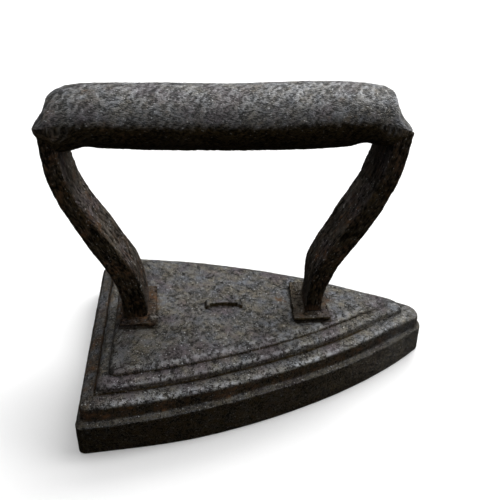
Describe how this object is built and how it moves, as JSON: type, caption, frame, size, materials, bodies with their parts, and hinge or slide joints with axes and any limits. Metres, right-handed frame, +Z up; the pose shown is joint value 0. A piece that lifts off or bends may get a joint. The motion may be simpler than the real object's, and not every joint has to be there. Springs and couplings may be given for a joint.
{
  "type": "sad iron",
  "caption": "Small old solid iron for pressing clothes: a pointed cast body with a stepped moulding, S-shaped strap legs and a rolled iron grip.",
  "frame": {"origin": "bottom centre of the whole iron's bounding box, on the plane of the sole and in the plane of symmetry", "axes": "+X towards the pointed nose, +Z up from the sole, +Y to the left of someone pushing the iron nose first"},
  "size_m": [0.137, 0.0894, 0.1063],
  "materials": {
    "cast_body": "pitted grey-black patina, worn bright on its ridges, rust brown in its grooves",
    "forged_strap": "scaled brown-black forged iron with lengthwise grain",
    "hammered_grip": "coarsely pitted, hand-polished high spots",
    "foot_collar": "rusty grey-brown, uneven"
  },
  "bodies": {
    "root": {"sole_casting": "cast_body", "front_leg": "forged_strap", "rear_leg": "forged_strap", "grip_shell": "hammered_grip", "front_foot_collar": "foot_collar", "rear_foot_collar": "foot_collar"}
  },
  "joints": []
}
